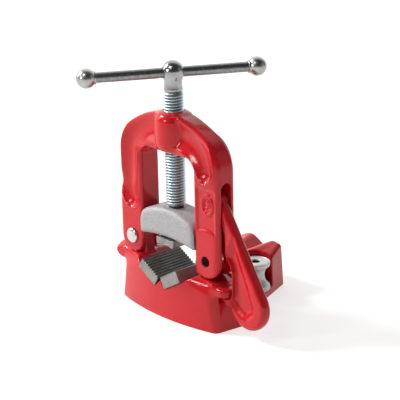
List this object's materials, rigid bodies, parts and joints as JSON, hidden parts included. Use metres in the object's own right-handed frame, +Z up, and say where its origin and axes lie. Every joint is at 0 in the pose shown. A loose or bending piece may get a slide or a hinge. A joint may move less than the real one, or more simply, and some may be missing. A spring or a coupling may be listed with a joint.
{
  "type": "bench yoke pipe vise",
  "caption": "Cast bench vise with a swing-open yoke, hook latch, toothed V jaws and a screw with sliding cross bar, for clamping pipe and round bar.",
  "frame": {"origin": "On the bench face, under the axis of the clamping screw and in the middle plane of the yoke.", "axes": "+Z up along the screw, X across the yoke from the hinge (-X) to the hook (+X), +Y along the workpiece to the rear rest."},
  "size_m": [0.2354, 0.2275, 0.2824],
  "materials": {
    "red_enamel": "glossy red enamel over an iron casting",
    "jaw_steel": "ground grey tool steel",
    "bright_steel": "bright turned steel",
    "silver_cast": "machined and silver-painted iron",
    "grey_cast": "grainy silver-grey paint on a casting",
    "zinc_steel": "blue zinc-plated thread, bright forged head",
    "handle_steel": "bright drawn steel bar with polished balls"
  },
  "bodies": {
    "base": {"base": "red_enamel", "lower_jaw_left": "jaw_steel", "lower_jaw_right": "jaw_steel", "lower_jaw_dowels": "jaw_steel", "hinge_pin": "bright_steel", "hinge_pin_washer": "bright_steel", "hinge_pin_cotter": "bright_steel", "bender_spool_left": "silver_cast", "bender_spool_right": "silver_cast"},
    "yoke": {"yoke": "red_enamel", "hook_pin": "red_enamel"},
    "hook": {"hook": "red_enamel"},
    "jaw": {"jaw_holder": "grey_cast", "upper_jaw": "jaw_steel", "upper_jaw_pin": "jaw_steel", "screw_retaining_pins": "jaw_steel"},
    "screw": {"screw": "zinc_steel"},
    "handle": {"handle_bar": "handle_steel", "handle_ball_left": "handle_steel", "handle_ball_right": "handle_steel"}
  },
  "joints": [
    {"name": "yoke_swing", "type": "hinge", "parent": "base", "child": "yoke", "pos_m": [-0.06, 0, 0.07625], "axis": [0, -1, 0], "range_deg": [0, 66]},
    {"name": "hook_swing", "type": "hinge", "parent": "yoke", "child": "hook", "pos_m": [0.064, 0, 0.141], "axis": [0, -1, 0], "range_deg": [0, 75]},
    {"name": "jaw_slide", "type": "slide", "parent": "yoke", "child": "jaw", "axis": [0, 0, 1], "range_m": [-0.0221, 0.0451]},
    {"name": "screw_turn", "type": "hinge", "parent": "jaw", "child": "screw", "pos_m": [0, 0, 0.2], "axis": [0, 0, 1], "range_deg": [-2494, 5102]},
    {"name": "handle_slide", "type": "slide", "parent": "screw", "child": "handle", "axis": [0.4695, 0.8829, 0], "range_m": [-0.069, 0.069]}
  ],
  "couplings": [
    {"joint": "jaw_slide", "follows": "screw_turn", "m_per_rad": 0.00050532}
  ]
}
